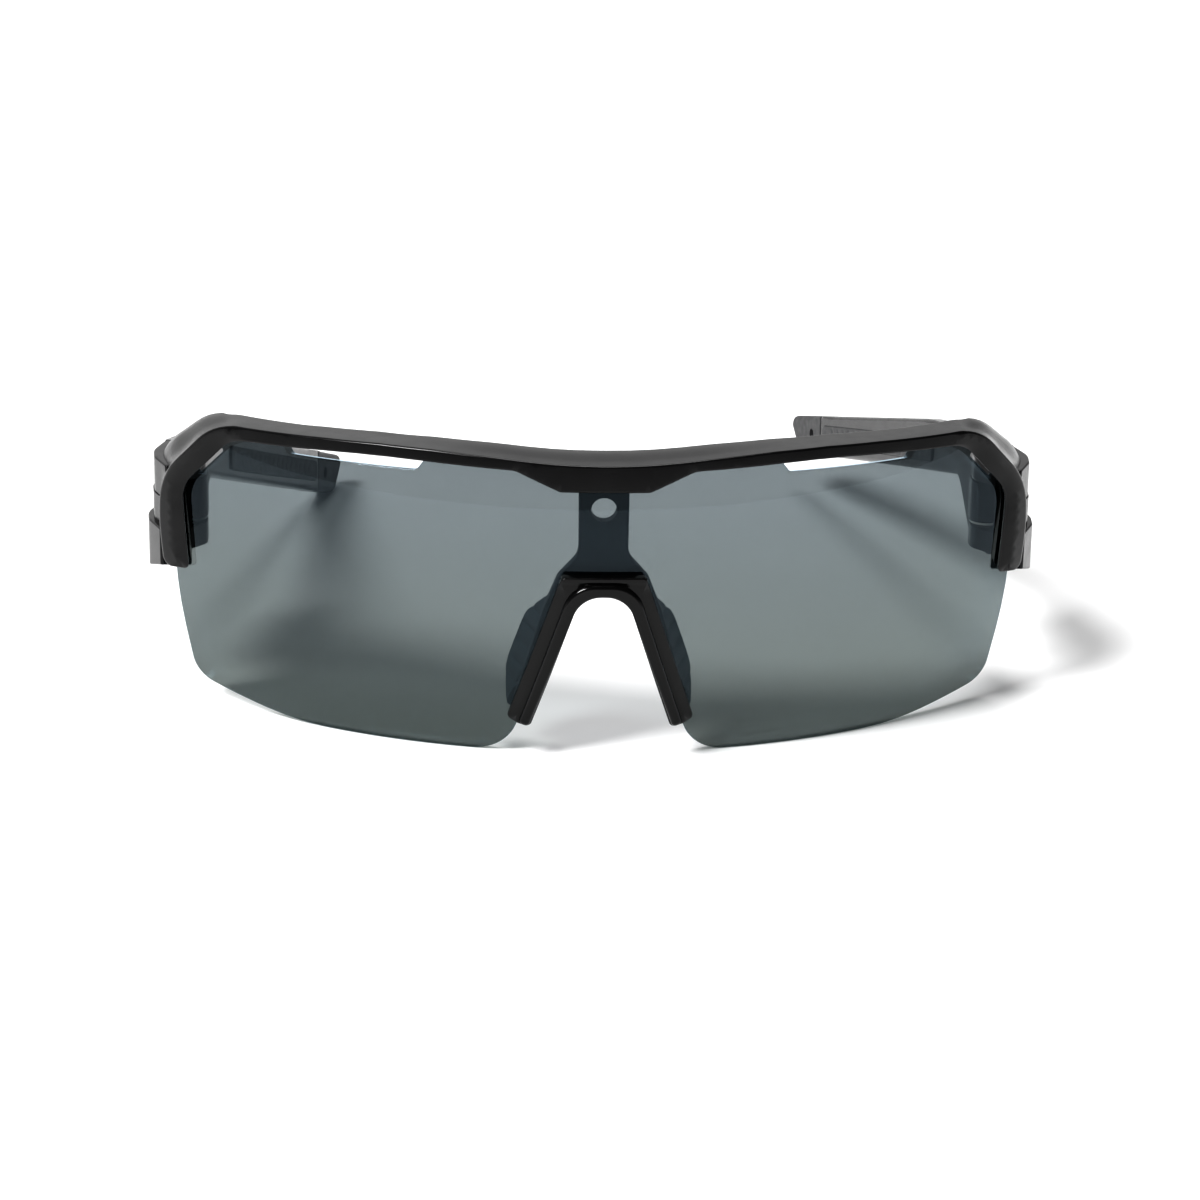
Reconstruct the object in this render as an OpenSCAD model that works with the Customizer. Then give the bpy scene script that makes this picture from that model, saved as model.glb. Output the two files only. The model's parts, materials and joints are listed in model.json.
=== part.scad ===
// Wraparound sport sunglasses: a half-rim frame, a one-piece shield lens, a clip-on nose piece
// and two folding temples. Millimetres.
// +X is the wearer's left, +Y runs from the lens back to the temple tips, +Z is up.
// The origin lies under the middle of the part, on the surface it rests on.

/* [Shield lens] */
// Outer radius of the spherical lens
lens_radius = 90; // [88:0.5:93]
// Thickness of the lens
lens_thickness = 1.8; // [1.6:0.1:2]
// Height of the lens sphere's centre above the resting surface
lens_centre_height = 28; // [27:0.5:29]

/* [Front frame] */
// How far the frame's face stands in front of the lens
frame_proud = 1.8; // [1.4:0.1:2.2]
// Depth of the frame from its face to its back, at the arms
frame_depth = 5.8; // [5.4:0.1:6.2]
// Depth of the brow from front to back, at the middle
brow_depth = 8.1; // [7.6:0.1:8.6]
// Half of the width over the endpieces
half_width = 72.2; // [72:0.1:72.6]
// Gap between the lens and its groove
groove_gap = 0.1; // [0.06:0.01:0.15]
// Height of the endpieces' top
endpiece_top = 38.6; // [38.2:0.2:39]
// Height of the endpieces' underside
endpiece_bottom = 19.2; // [18.6:0.2:20]

/* [Nose piece] */
// Height of the top of the nose gap
nose_gap_top = 27.2; // [26.8:0.1:27.6]
// Lean of the legs beside the nose, from upright
leg_lean = 18.7; // [18:0.1:19.5]
// How far the clip stands in front of the lens
clip_proud = 1.5; // [1.2:0.1:1.8]
// Extra height of the clip's rounded inner rim
rim_height = 0.9; // [0.6:0.1:1.1]
// Thickness of a nose pad
pad_thickness = 2.6; // [2.4:0.1:3]
// Depth of a nose pad behind the lens
pad_depth = 8.5; // [8:0.5:9.5]
// Angle at which the pads open towards the face
pad_flare = 20; // [18:1:24]

/* [Temples] */
// Distance from the front of the lens to the temple tips
temple_reach = 160; // [156:1:164]
// Radius of the temples' gentle inward curve, seen from above
temple_curve = 1200; // [1100:50:1400]
// Angle at which the temples leave the hinges, inwards
temple_toe_in = 8.1; // [7.6:0.1:8.6]
// Thickness of a temple
temple_thickness = 4; // [3.8:0.1:4.2]
// Height of a temple at its tip
tip_height = 6.4; // [6:0.1:7]
// Height of the wearer's left tip above the resting surface
left_tip_rest = 8.7; // [0:0.1:9]
// Length of the soft cap on each tip
cap_length = 17; // [16:0.5:18]
// Radius of the hole for a retainer cord
cord_hole_radius = 1.1; // [0.9:0.05:1.2]
// Depth of the groove along the outside
groove_depth = 0.9; // [0.8:0.05:1]
// How far the upper half of the hinge end stands back from the lower half
shoulder = 1.1; // [0.8:0.1:1.3]

/* [Hinges] */
// Radius of the hinge screw's shank
pin_radius = 0.9; // [0.8:0.05:0.95]
// Radius of the hinge knuckles
knuckle_radius = 2.6; // [2.5:0.1:2.7]
// Radial clearance of the screw in the temple's knuckle
hinge_clearance = 0.05; // [0.02:0.01:0.08]
// Thickness of a hinge washer
washer_thickness = 0.35; // [0.3:0.05:0.4]

/* [Hidden] */
$fn = 96;
// Facets of the large spheres
fine = 240;
// Largest turn of one step round an outline's corner
corner_step = 9;
// Small gap between soft pieces and what holds them
seat_gap = 0.05;

// The middle of the whole part lies halfway between the clip's rim and the temple tips
middle_y = (temple_reach - clip_proud - rim_height) / 2;
lens_inner = lens_radius - lens_thickness;
frame_outer = lens_radius + frame_proud;
frame_inner = frame_outer - frame_depth;
// The back of the brow lies on a flatter sphere, brow_depth behind the face along the top
brow_back_radius = 99;
brow_rise = 19;
brow_face_y = lens_radius - sqrt(pow(frame_outer, 2) - pow(brow_rise, 2));
brow_back_centre = brow_face_y + brow_depth + sqrt(pow(brow_back_radius, 2) - pow(brow_rise, 2));

// Hinge: the pivot line is upright, just inside the temple's inner face
split_y = 47;
split_gap = 0.15;
// Outside of the temple where it meets the endpiece
split_x = half_width - 1.3;
pivot_x = split_x - temple_thickness - 1.3;
pivot_y = split_y - 0.5;
lug_height = 3.8;
knuckle_low = 26;
knuckle_high = 33;
swing_gap = 0.2;
screw_head_radius = 1.7;
screw_head_height = 1.1;
insert_radius = 1.55;

// Groove along the outside of the endpieces and temples
groove_low = 28.2;
groove_high = 32.4;

// The nose gap's sides lean by leg_lean; x of its edge at height z
gap_foot = 11.1;
gap_foot_z = 4.7;
function gap_x(z) = gap_foot - (z - gap_foot_z) * tan(leg_lean);
lip_width = 1.7;
notch_top = nose_gap_top + lip_width;
function notch_x(z) = gap_x(z) + lip_width / cos(leg_lean) + 0.1;
leg_width = 3.75;
function leg_x(z) = gap_x(z) + leg_width / cos(leg_lean);

// Frame outline, one half from the top middle outwards: [x, z, corner radius]
frame_half = [[6, 47.1, 140], [30, 49, 200], [60, 47.6, 10], [69.2, 37.3, 12], [69.6, 30, 40],
    [68.9, 22.7, 1.4], [64.6, 22.7, 1], [65.6, 36.2, 6], [57.1, 45.6, 6], [35, 46.95, 150],
    [13.6, 46.1, 3], [6.8, 43.15, 1.2]];
// Lens groove in the frame; it runs out below the arms
groove_half = [[6, 46.55, 140], [30, 48, 200], [58.6, 46.8, 6], [67.4, 37.2, 5], [67.6, 30, 30],
    [67.1, 12, 0]];
// Vents are the notches [26.6 .. 49.4] in the top edge and [59.9 .. 64.4] in the corner
lens_half = [[6, 46.35, 140], [26.6, 47.25, 0.6], [28.4, 44.95, 0.8], [48.1, 44.75, 0.8],
    [49.4, 46.85, 0.6], [57.2, 46.3, 1.5], [59.9, 44.3, 0.3], [58.7, 43.1, 0.3],
    [63.2, 38.2, 0.3], [64.4, 39.3, 0.3], [66.6, 36.9, 4], [67.3, 28, 30], [66.9, 18, 80],
    [64.2, 3.6, 4.5], [47.5, 0, 50], [notch_x(0), 0, 7], [notch_x(notch_top), notch_top, 4.2]];

// Heights of an arm's top behind the hinge block and of its underside there, for a tip at rest
arm_start = 66.5;
function arm_top(rest) = 30.3 + 0.39 * rest;
function arm_foot(rest) = 27.3 + 0.1 * rest;
// Temple side view: points [y, z, corner radius] for a tip resting at height rest
function temple_side(rest) = [[split_y + split_gap / 2, endpiece_top, 0], [58, 36.8, 30],
    [84, arm_top(rest), 60], [temple_reach - 0.8, rest + tip_height, 1.8],
    [temple_reach, rest + 4.4, 1.2], [temple_reach - 4.5, rest, 2], [temple_reach - 6.5, rest, 5],
    [arm_start, arm_foot(rest), 3.5], [58.5, endpiece_bottom + 0.2, 3],
    [split_y + split_gap / 2, endpiece_bottom, 0]];
// Height of the temple's middle at distance y, for a tip resting at height rest
function temple_mid(y, rest) = let (f = (y - arm_start) / (temple_reach - 9 - arm_start))
    (1 - f) * (31 + 0.12 * rest) + f * (rest + 4.8);
grip_start = 80;
cap_start = temple_reach - cap_length;
grip_end = cap_start - 1.5;
grip_height = 4.4;
grip_sunk = 1;
grip_proud = 0.3;
curve_x = split_x - temple_curve * cos(temple_toe_in);
curve_y = split_y - temple_curve * sin(temple_toe_in);
band_start = 40;
band_end = 170;
band_steps = 13;
cord_hole_y = temple_reach - 12;
cord_hole_angle = asin((cord_hole_y - curve_y) / (temple_curve - temple_thickness / 2));

// Rounded outlines: every corner of a closed outline becomes an arc of its own radius
function unit(v) = v / norm(v);
function flat(p) = [p.x, p.y];
function round_corner(a, b, c) =
    let (back = unit(flat(a) - flat(b)), ahead = unit(flat(c) - flat(b)),
        inside = acos(max(-1, min(1, back * ahead))), turn = 180 - inside)
    b.z == 0 || turn < 0.1 ? [flat(b)] :
    let (centre = flat(b) + unit(back + ahead) * b.z / sin(inside / 2),
        start = flat(b) + back * b.z / tan(inside / 2) - centre,
        end = flat(b) + ahead * b.z / tan(inside / 2) - centre,
        steps = max(2, ceil(turn / corner_step)))
    [for (i = [0 : steps])
        centre + (sin(turn * (1 - i / steps)) * start + sin(turn * i / steps) * end) / sin(turn)];
function rounded(points) = let (n = len(points))
    [for (i = [0 : n - 1]) each round_corner(points[(i + n - 1) % n], points[i], points[(i + 1) % n])];
function both_halves(half) =
    concat(half, [for (i = [len(half) - 1 : -1 : 0]) [-half[i].x, half[i].y, half[i].z]]);

// Places everything with the origin under the middle of the part
module placed() { translate([0, -middle_y, 0]) children(); }
// The other side of the head
module wearers_right() { mirror([1, 0, 0]) children(); }
// A front-view outline of [x, z] points, run through the whole depth of the front
module front_prism(points) {
    translate([0, 60, 0]) rotate([90, 0, 0]) linear_extrude(80) polygon(points);
}
// A side-view outline of [y, z] points, run along X through the wearer's left side
module side_prism(points) {
    translate([30, 0, 0]) rotate([90, 0, 90]) linear_extrude(60) polygon(points);
}
// Shell between two spheres about the lens's centre
module lens_shell(outer, inner) {
    translate([0, lens_radius, lens_centre_height]) difference() {
        sphere(r = outer, $fn = fine);
        sphere(r = inner, $fn = fine);
    }
}
module lens_ball(radius) {
    translate([0, lens_radius, lens_centre_height]) sphere(r = radius, $fn = fine);
}
// Upright band that follows the temple's curve between two radii
function band_x(radius, y) = curve_x + sqrt(pow(radius, 2) - pow(y - curve_y, 2));
module temple_band(outer, inner) {
    stations = [for (i = [0 : band_steps]) band_start + (band_end - band_start) * i / band_steps];
    translate([0, 0, -5]) linear_extrude(60)
        polygon(concat([for (y = stations) [band_x(outer, y), y]],
            [for (i = [band_steps : -1 : 0]) [band_x(inner, stations[i]), stations[i]]]));
}
// Upright cylinder on the hinge's pivot line
module pivot_cylinder(radius, low, high) {
    translate([pivot_x, pivot_y, low]) cylinder(r = radius, h = high - low);
}
// A knuckle about the pivot, with a web from it to the wall at distance reach (signed, along Y)
module knuckle(low, high, reach) {
    pivot_cylinder(knuckle_radius, low, high);
    wall_x = split_x - temple_thickness + (reach < 0 ? 1.2 : 0.2);
    translate([0, 0, low]) linear_extrude(high - low)
        polygon([[pivot_x - knuckle_radius, pivot_y], [pivot_x - knuckle_radius, pivot_y + reach * 0.3],
            [wall_x - 0.5, pivot_y + reach], [wall_x, pivot_y + reach], [wall_x, pivot_y]]);
}

// ---- Front ----
// Space beside and behind the arm, where the endpiece shows
module endpiece_space() {
    translate([0, 31.5, -5]) cube([100, 60, 60]);
}
module endpiece() {
    intersection() {
        linear_extrude(60)
            polygon(rounded([[64.8, 33.8, 0], [69.4, 30.6, 0.4], [71.8, 36.5, 5],
                [half_width + 0.1, 41, 8], [split_x, split_y - split_gap / 2, 0],
                [split_x - temple_thickness - 0.03, split_y - split_gap / 2, 0],
                [67.3, 42, 8], [66, 37, 6]]));
        side_prism(rounded([[28, endpiece_top, 0], [55, endpiece_top, 0], [55, endpiece_bottom, 0],
            [41, endpiece_bottom, 12], [30, 22.4, 3], [28, 24, 0]]));
    }
    knuckle(knuckle_low - 0.4 - lug_height, knuckle_low - 0.4, -8);
    knuckle(knuckle_high + 0.4, knuckle_high + 0.4 + lug_height, -8);
}
// Cut that sets the outside above the groove back by shoulder; it fades out along the temple
module shoulder_cut() {
    fade_y = 86;
    intersection() {
        translate([0, 0, 20]) linear_extrude(40)
            polygon([[68.6, 31.5], [71.3 - shoulder, 36.5], [half_width - shoulder, 41],
                [split_x - shoulder, split_y], [band_x(temple_curve, fade_y), fade_y],
                [90, fade_y], [90, 31.5]]);
        side_prism([[20, groove_high - 0.2], [62, groove_high - 0.4], [fade_y, 29.2],
            [fade_y, 60], [20, 60]]);
    }
}
// What is cut out of each endpiece: outer groove, room for the temple's knuckle, screw and insert
module endpiece_cuts() {
    translate([0, 0, groove_low]) linear_extrude(groove_high - groove_low)
        polygon([[69.2, 31.5], [71.6 - groove_depth, 37.5], [half_width - groove_depth, 41],
            [split_x - groove_depth, split_y], [80, split_y], [80, 31.5]]);
    pivot_cylinder(knuckle_radius + swing_gap, knuckle_low - 0.4, knuckle_high + 0.4);
    pivot_cylinder(pin_radius + 0.02, knuckle_high, 50);
    pivot_cylinder(screw_head_radius + 0.05,
        knuckle_high + 0.4 + lug_height - screw_head_height, 50);
    pivot_cylinder(insert_radius + 0.01, 15, knuckle_low);
}
// Everything behind the frame: its back follows the lens at the arms and is flatter over the brow
module behind_frame() {
    intersection() {
        lens_ball(frame_inner);
        translate([0, brow_back_centre, lens_centre_height]) sphere(r = brow_back_radius, $fn = fine);
    }
}
module front_frame() {
    color([0.05, 0.05, 0.052]) placed() difference() {
        union() {
            difference() {
                intersection() {
                    lens_ball(frame_outer);
                    front_prism(rounded(both_halves(frame_half)));
                }
                behind_frame();
            }
            endpiece();
            wearers_right() endpiece();
        }
        intersection() {
            lens_shell(lens_radius + groove_gap, lens_inner - groove_gap);
            front_prism(rounded(both_halves(groove_half)));
        }
        endpiece_cuts();
        wearers_right() endpiece_cuts();
        intersection() {
            shoulder_cut();
            endpiece_space();
        }
        wearers_right() intersection() {
            shoulder_cut();
            endpiece_space();
        }
        post_slot();
    }
}
module shield_lens() {
    color([0.42, 0.46, 0.46, 0.6]) placed() intersection() {
        lens_shell(lens_radius, lens_inner);
        front_prism(rounded(both_halves(lens_half)));
    }
}

// ---- Nose piece ----
// Inner edge of the legs and the arch between them, grown outwards by edge
function gap_half(edge) = [[gap_x(5) + edge, 5, 0],
    [gap_x(nose_gap_top) + edge * 0.72, nose_gap_top + edge, 4.4 + edge * 0.5]];
module nose_bridge_clip() {
    leg_foot = leg_x(6.3);
    outer = [[6.35, 30.3, 0.7], [leg_foot, 6.3, 0.9], [gap_x(5) - 0.1, 5, 0.9]];
    rim = 2;
    color([0.03, 0.03, 0.032]) placed() {
        intersection() {
            lens_shell(lens_radius + clip_proud, lens_radius + 0.03);
            front_prism(rounded(both_halves(concat(outer, [gap_half(0)[1]]))));
        }
        intersection() {
            lens_shell(lens_radius + clip_proud + rim_height, lens_radius + clip_proud - 0.2);
            front_prism(rounded(both_halves([[gap_x(nose_gap_top) + rim * 0.72, nose_gap_top + rim, 5],
                [gap_x(5.9) + rim, 5.9, 0.5], [gap_x(5.3) + 0.2, 5.3, 0.5], gap_half(0)[1]])));
        }
        // Lip through the lens's nose cut-out, which the carrier behind meets
        intersection() {
            lens_shell(lens_radius + 0.2, lens_inner - 0.03);
            front_prism(rounded(both_halves([[notch_x(notch_top) - 0.2, notch_top - 0.15, 4.1],
                [notch_x(6.4) - 0.2, 6.4, 0.4], [gap_x(5.8), 5.8, 0.4], gap_half(0)[1]])));
        }
    }
}
// Post from the pads up to the brow, with an oval hole
post_half = 3.85;
post_top = 45.4;
oval_half_width = 1.95;
oval_half_height = 1.8;
oval_height = 39.7;
module post_slot() {
    intersection() {
        lens_shell(lens_inner, lens_inner - 5);
        front_prism([[-post_half - seat_gap, 40], [post_half + seat_gap, 40],
            [post_half + seat_gap, post_top + seat_gap], [-post_half - seat_gap, post_top + seat_gap]]);
    }
}
// Frame of a nose pad: local Y runs back through the pad and local Z up along it
module pad_frame() {
    translate([9.5, 5.4, 15.4]) rotate([0, -leg_lean, 0]) rotate([0, 0, -pad_flare]) children();
}
tab_thickness = 1;
module pad_tab(gap) {
    pad_frame() translate([-tab_thickness / 2 - gap, -4, -5.5 - gap])
        cube([tab_thickness + 2 * gap, 4 + pad_depth * 0.55 + gap, 11 + 2 * gap]);
}
module nose_carrier() {
    color([0.06, 0.065, 0.07]) placed() intersection() {
        union() {
            intersection() {
                lens_shell(lens_inner - 0.05, frame_inner);
                difference() {
                    front_prism(rounded(both_halves([[post_half, post_top, 0], [3.75, 32.8, 3],
                        [6.9, 29.3, 2], [leg_x(24) + 0.5, 24, 6], [leg_x(9) - 0.3, 9, 1.2],
                        [leg_x(7.6) - 0.9, 7.6, 1.2], [gap_x(7.4) + 0.1, 7.4, 0.8], gap_half(0.05)[1]])));
                    // Oval hole near the top of the post
                    translate([0, 0, oval_height]) front_prism([for (a = [0 : 12 : 348])
                        [oval_half_width * cos(a), oval_half_height * sin(a)]]);
                }
            }
            pad_tab(0);
            wearers_right() pad_tab(0);
        }
        lens_ball(lens_inner - 0.05);
    }
}
module nose_pad() {
    rib_pitch = 2.9;
    rib_cut = 0.4;
    intersection() {
        difference() {
            pad_frame() translate([-pad_thickness / 2, 0, 0]) rotate([90, 0, 90])
                linear_extrude(pad_thickness)
                polygon(rounded([[-5, 9.5, 0], [2.5, 9.8, 4], [pad_depth - 0.5, 4.5, 4],
                    [pad_depth, -5, 4.5], [3, -10, 4], [-5, -9.6, 0]]));
            pad_tab(seat_gap);
            for (i = [-2 : 2], side = [-1, 1])
                pad_frame() translate([side * pad_thickness / 2, 4.5, i * rib_pitch])
                    cube([2 * rib_cut, 20, 0.9], center = true);
        }
        lens_ball(frame_inner - 0.05);
    }
}
module left_nose_pad() { color([0.12, 0.13, 0.14]) placed() nose_pad(); }
module right_nose_pad() { color([0.12, 0.13, 0.14]) placed() wearers_right() nose_pad(); }

// ---- Temples ----
// Side outline of the outer groove on a temple, shrunk by inset
groove_end = 90;
function groove_side(rest, inset) = let (end_z = temple_mid(groove_end, rest))
    [[split_y - 1, groove_low + inset, 0], [split_y - 1, groove_high - inset, 0],
    [62, groove_high - 0.2 - inset, 12], [groove_end - inset, end_z + 2.1 - inset, 0.4],
    [groove_end - 0.5 - inset, end_z + 0.8 + inset, 0.4], [66, arm_foot(rest) + 1.5 + inset, 10]];
// Side outline of the soft grip on the inner face, grown by grow
function grip_side(rest, grow) = let (half = grip_height / 2 + grow)
    [[grip_start - grow, temple_mid(grip_start, rest) + half, 1.2],
    [grip_end + grow, temple_mid(grip_end, rest) + half - 0.2, 1.2],
    [grip_end + grow, temple_mid(grip_end, rest) - half + 0.2, 1.2],
    [grip_start - grow, temple_mid(grip_start, rest) - half, 1.2]];
// Tenon that the soft cap is pushed over, grown by grow
module tip_tenon(rest, grow) {
    middle = temple_curve - temple_thickness / 2;
    half = 1.7 + grow;
    intersection() {
        temple_band(middle + 0.9 + grow, middle - 0.9 - grow);
        side_prism([[cap_start - 2, temple_mid(cap_start, rest) - half],
            [cap_start + 3 + grow, temple_mid(cap_start + 3, rest) - half],
            [cap_start + 3 + grow, temple_mid(cap_start + 3, rest) + half],
            [cap_start - 2, temple_mid(cap_start, rest) + half]]);
    }
}
module temple(rest) {
    difference() {
        union() {
            intersection() {
                temple_band(temple_curve, temple_curve - temple_thickness);
                side_prism(rounded(temple_side(rest)));
                side_prism([[0, -10], [cap_start, -10], [cap_start, 60], [0, 60]]);
            }
            knuckle(knuckle_low, knuckle_high, 8);
            tip_tenon(rest, 0);
        }
        intersection() {
            temple_band(temple_curve + 5, temple_curve - groove_depth);
            side_prism(rounded(groove_side(rest, 0)));
        }
        intersection() {
            temple_band(temple_curve - temple_thickness + grip_sunk + seat_gap, temple_curve - 10);
            side_prism(rounded(grip_side(rest, seat_gap)));
        }
        pivot_cylinder(pin_radius + hinge_clearance, knuckle_low - 1, knuckle_high + 1);
        pivot_cylinder(knuckle_radius + swing_gap, 10, knuckle_low);
        pivot_cylinder(knuckle_radius + swing_gap, knuckle_high, 50);
        shoulder_cut();
    }
}
module temple_inlay(rest) {
    intersection() {
        temple_band(temple_curve - groove_depth + 0.65, temple_curve - groove_depth + seat_gap);
        side_prism(rounded(groove_side(rest, 0.15)));
        side_prism([[52, 0], [120, 0], [120, 60], [52, 60]]);
    }
}
module temple_grip(rest) {
    intersection() {
        temple_band(temple_curve - temple_thickness + grip_sunk,
            temple_curve - temple_thickness - grip_proud);
        side_prism(rounded(grip_side(rest, 0)));
    }
}
module tip_cap(rest) {
    difference() {
        intersection() {
            temple_band(temple_curve, temple_curve - temple_thickness);
            side_prism(rounded(temple_side(rest)));
            side_prism([[cap_start + seat_gap, -10], [200, -10], [200, 60], [cap_start + seat_gap, 60]]);
        }
        tip_tenon(rest, seat_gap);
        translate([curve_x, curve_y, temple_mid(cord_hole_y, rest)]) rotate([0, 0, cord_hole_angle])
            translate([temple_curve - 10, 0, 0]) rotate([0, 90, 0]) cylinder(r = cord_hole_radius, h = 20);
    }
}
module left_temple() { color([0.05, 0.05, 0.052]) placed() temple(left_tip_rest); }
module right_temple() { color([0.05, 0.05, 0.052]) placed() wearers_right() temple(0); }
module left_temple_inlay() { color([0.1, 0.1, 0.11]) placed() temple_inlay(left_tip_rest); }
module right_temple_inlay() { color([0.1, 0.1, 0.11]) placed() wearers_right() temple_inlay(0); }
module left_temple_grip() { color([0.14, 0.14, 0.15]) placed() temple_grip(left_tip_rest); }
module right_temple_grip() { color([0.14, 0.14, 0.15]) placed() wearers_right() temple_grip(0); }
module left_tip_cap() { color([0.09, 0.09, 0.1]) placed() tip_cap(left_tip_rest); }
module right_tip_cap() { color([0.09, 0.09, 0.1]) placed() wearers_right() tip_cap(0); }

// ---- Hinge hardware ----
module hinge_screw() {
    head_low = knuckle_high + 0.4 + lug_height - screw_head_height;
    head_top = head_low + screw_head_height - 0.1;
    difference() {
        union() {
            pivot_cylinder(pin_radius, knuckle_low - 0.4 - lug_height + 0.3, head_low + 0.1);
            pivot_cylinder(screw_head_radius, head_low, head_top);
        }
        // Screwdriver slot
        translate([pivot_x, pivot_y, head_top]) cube([5, 0.5, 1], center = true);
    }
}
module hinge_insert() {
    difference() {
        pivot_cylinder(insert_radius, knuckle_low - 0.4 - lug_height, knuckle_low - 0.45);
        pivot_cylinder(pin_radius + 0.01, 10, knuckle_low);
    }
}
module hinge_washers() {
    for (low = [knuckle_low - 0.4, knuckle_high + 0.4 - washer_thickness])
        difference() {
            pivot_cylinder(knuckle_radius - 0.1, low, low + washer_thickness);
            pivot_cylinder(pin_radius + hinge_clearance, low - 1, low + 1);
        }
}
module left_hinge_screw() { color("silver") placed() hinge_screw(); }
module right_hinge_screw() { color("silver") placed() wearers_right() hinge_screw(); }
module left_hinge_insert() { color("gold") placed() hinge_insert(); }
module right_hinge_insert() { color("gold") placed() wearers_right() hinge_insert(); }
module left_hinge_washers() { color("white") placed() hinge_washers(); }
module right_hinge_washers() { color("white") placed() wearers_right() hinge_washers(); }

front_frame();
shield_lens();
nose_bridge_clip();
nose_carrier();
left_nose_pad();
right_nose_pad();
left_temple();
right_temple();
left_temple_inlay();
right_temple_inlay();
left_temple_grip();
right_temple_grip();
left_tip_cap();
right_tip_cap();
left_hinge_screw();
right_hinge_screw();
left_hinge_insert();
right_hinge_insert();
left_hinge_washers();
right_hinge_washers();
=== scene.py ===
"""Looks of the wraparound sport sunglasses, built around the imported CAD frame.

Shapes are worked out in millimetres in the design's own frame: x to the wearer's left, y back from
the front of the lens, z up from the resting surface. solid() turns them to metres and to the row frame.
"""

import json
import math

import bmesh
import bpy
import numpy as np
from mathutils import Matrix, Vector
from mathutils.geometry import delaunay_2d_cdt


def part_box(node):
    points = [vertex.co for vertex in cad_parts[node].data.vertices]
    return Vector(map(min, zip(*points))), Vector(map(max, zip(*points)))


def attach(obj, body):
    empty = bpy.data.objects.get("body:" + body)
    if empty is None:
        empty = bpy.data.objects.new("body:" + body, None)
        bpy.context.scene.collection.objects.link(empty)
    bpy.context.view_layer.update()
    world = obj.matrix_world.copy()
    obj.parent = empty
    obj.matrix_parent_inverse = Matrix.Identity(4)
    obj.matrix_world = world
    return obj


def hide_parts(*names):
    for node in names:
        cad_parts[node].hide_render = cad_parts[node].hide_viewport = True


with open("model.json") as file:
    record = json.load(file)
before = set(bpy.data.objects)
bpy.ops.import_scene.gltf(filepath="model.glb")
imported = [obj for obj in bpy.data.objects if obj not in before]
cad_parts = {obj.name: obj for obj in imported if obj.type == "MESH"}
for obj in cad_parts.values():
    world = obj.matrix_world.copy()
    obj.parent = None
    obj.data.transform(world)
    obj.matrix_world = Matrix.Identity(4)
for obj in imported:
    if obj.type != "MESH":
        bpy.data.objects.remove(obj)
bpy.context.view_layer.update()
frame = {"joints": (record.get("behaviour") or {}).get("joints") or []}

# ---- Dimensions, in millimetres ----
MM = 0.001
FRONT_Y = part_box("shield_lens")[0].y

# The lens is a shell of a sphere.
LENS_RADIUS = 90
LENS_THICKNESS = 1.8
LENS_CENTRE_Z = 28
LENS_INNER = LENS_RADIUS - LENS_THICKNESS

# The frame's front and its back beside the lens are spheres about the same centre. The back of the
# brow is a flatter sphere, which is BROW_BACK_AT_TOP deep at BROW_RISE above the lens's centre.
FRAME_OUTER = 91.8
FRAME_INNER = 86.0
BROW_BACK_RADIUS = 99
BROW_BACK_AT_TOP = 8.3
BROW_RISE = 19
GROOVE_GAP = 0.1

# Hinge: knuckle on the temple, a lug above and below it on the endpiece, screw, insert and washers.
hinge = next(j for j in frame["joints"] if j["name"] == "left_temple_fold")
PIVOT_X = hinge["pos_m"][0] / MM
PIVOT_Y = (hinge["pos_m"][1] - FRONT_Y) / MM
KNUCKLE_RADIUS = 2.6
KNUCKLE_LOW, KNUCKLE_HIGH = 26, 33
LUG_HEIGHT = 3.8
LUG_GAP = 0.4
LUG_TOP = KNUCKLE_HIGH + LUG_GAP + LUG_HEIGHT
LUG_BOTTOM = KNUCKLE_LOW - LUG_GAP - LUG_HEIGHT
PIN_RADIUS = 0.9
SCREW_HEAD_RADIUS = 1.7
SCREW_HEAD_FOOT = LUG_TOP - 1.1
INSERT_RADIUS = 1.55
INSERT_LENGTH = 3.75
INSERT_BEVEL = 0.15
WASHER_THICKNESS = 0.35
SWING_GAP = 0.2

# Endpieces, and the shoulder and groove that run from them on to the temples.
SPLIT_X, SPLIT_Y = 70.9, 47
SPLIT_GAP = 0.15
ENDPIECE_TOP, ENDPIECE_BOTTOM = 38.6, 19.2
SHOULDER = 1.1
GROOVE_LOW, GROOVE_HIGH = 28.2, 32.4
GROOVE_DEPTH = 0.9

# Temples: each follows a wide arc inwards and narrows to its tip.
TEMPLE_CURVE = 1200
TEMPLE_TOE_IN = math.radians(8.1)
TEMPLE_THICKNESS = 4
ARM_START = 66.5
ARM_TOP_Y = 84
TIP_HEIGHT = 6.4
TIP_REST = {"left": 8.7, "right": 0.0}
TIP_Y = 160
TIP_MIDDLE_Y = TIP_Y - 9
TIP_TOP_Y = TIP_Y - 0.8
TIP_FOOT_Y = TIP_Y - 6.5
CAP_START = TIP_Y - 17
GRIP_START, GRIP_END = 80, CAP_START - 1.5
GROOVE_END = 90
CORD_HOLE_Y = TIP_Y - 12
CORD_HOLE_RADIUS = 1.1
SEAT_GAP = 0.05

# Nose piece.
LEG_ANGLE = math.radians(18.7)
LEG_LEAN = math.tan(LEG_ANGLE)
NOSE_GAP_TOP = 27.2
LIP_WIDTH = 1.7
CLIP_OUTER = 91.5
RIM_OUTER = 92.4

# Limits of the mesh work: two lengths in metres, and a number of faces.
SAME_PLACE = 2e-7
SLIVER = 3e-6
SMALLEST_ISLAND = 40


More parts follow.
